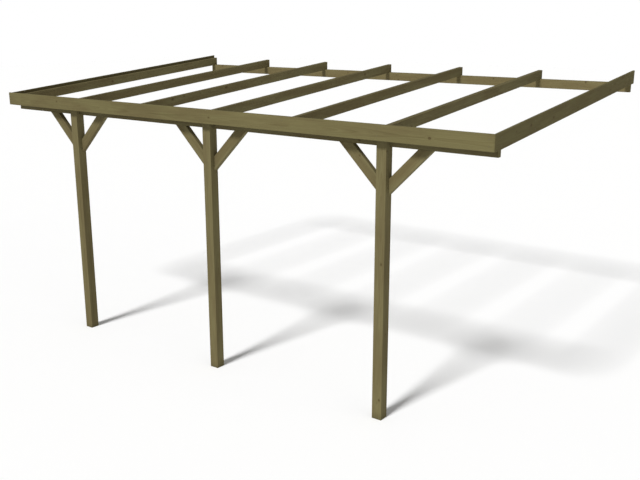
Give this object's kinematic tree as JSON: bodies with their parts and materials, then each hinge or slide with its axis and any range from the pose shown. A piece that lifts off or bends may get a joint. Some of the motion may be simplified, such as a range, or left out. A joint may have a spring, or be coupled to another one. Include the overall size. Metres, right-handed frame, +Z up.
{
  "type": "lean-to timber carport frame",
  "caption": "Lean-to carport frame of square timber posts with knee braces, a purlin, sloping rafters, edge boards and a ledger bolted to a wall.",
  "frame": {"origin": "centre of the back face of the wall ledger, the face that lies on the wall", "axes": "+X along the wall, +Y into the wall, +Z up; the posts stand on level ground 2.538 m below the origin"},
  "size_m": [5.505, 3.138, 2.7005],
  "materials": {
    "post_timber": "planed, pressure-treated, matt",
    "frame_timber": "planed, pressure-treated, matt",
    "board": "planed, pressure-treated, matt"
  },
  "bodies": {
    "root": {"post_left": "post_timber", "post_middle": "post_timber", "post_right": "post_timber", "brace_left_l": "frame_timber", "brace_left_r": "frame_timber", "brace_middle_l": "frame_timber", "brace_middle_r": "frame_timber", "brace_right_l": "frame_timber", "brace_right_r": "frame_timber", "purlin": "frame_timber", "wall_ledger": "frame_timber", "rafter_1": "frame_timber", "rafter_2": "frame_timber", "rafter_3": "frame_timber", "rafter_4": "frame_timber", "rafter_5": "frame_timber", "rafter_6": "frame_timber", "rafter_7": "frame_timber", "fascia": "board", "side_board_left": "board", "side_board_right": "board"}
  },
  "joints": []
}
